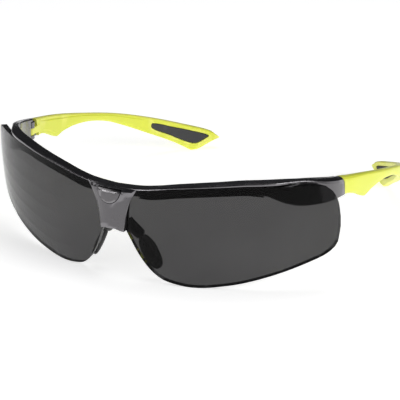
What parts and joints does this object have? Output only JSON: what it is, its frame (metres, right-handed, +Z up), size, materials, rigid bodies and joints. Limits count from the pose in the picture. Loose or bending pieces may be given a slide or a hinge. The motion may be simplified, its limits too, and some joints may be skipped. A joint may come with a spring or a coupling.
{
  "type": "safety glasses",
  "caption": "Half-rim wraparound safety glasses: a one-piece smoke shield lens under a gunmetal brow bar, with folding yellow-green temples.",
  "frame": {"origin": "centre of the footprint on the table the open glasses stand on, at table height", "axes": "+Z up, -Y the way the wearer looks, +X the wearer's left"},
  "size_m": [0.1496, 0.1721, 0.0447],
  "materials": {
    "gunmetal": "gunmetal lacquer on a rigid moulding, glossy with fine metallic flake",
    "gunmetal_badge": "gunmetal lacquer, glossy",
    "smoke_lens": "neutral smoke tinted polycarbonate, polished",
    "dark_nylon": "moulded, satin",
    "nose_pad_rubber": "soft translucent smoke silicone",
    "black_rubber": "soft, matte",
    "screw_steel": "turned steel",
    "insert_brass": "turned brass",
    "lime_plastic": "high-visibility yellow-green, satin gloss",
    "charcoal_rubber": "soft, matte"
  },
  "bodies": {
    "front": {"frame_front": "gunmetal", "bridge_badge": "gunmetal_badge", "lens": "smoke_lens", "nose_bracket": "dark_nylon", "nose_pad_left": "nose_pad_rubber", "nose_pad_right": "nose_pad_rubber", "brow_pad_left": "black_rubber", "brow_pad_right": "black_rubber", "hinge_screw_left": "screw_steel", "hinge_screw_right": "screw_steel", "hinge_insert_left": "insert_brass", "hinge_insert_right": "insert_brass"},
    "temple_left": {"temple_left": "lime_plastic", "tip_inlay_left": "charcoal_rubber"},
    "temple_right": {"temple_right": "lime_plastic", "tip_inlay_right": "charcoal_rubber"}
  },
  "joints": [
    {"name": "temple_left_fold", "type": "hinge", "parent": "front", "child": "temple_left", "pos_m": [0.0674, -0.0323, 0.035], "axis": [0, 0, 1], "range_deg": [0, 86]},
    {"name": "temple_right_fold", "type": "hinge", "parent": "front", "child": "temple_right", "pos_m": [-0.0674, -0.0323, 0.035], "axis": [0, 0, -1], "range_deg": [0, 81]}
  ]
}
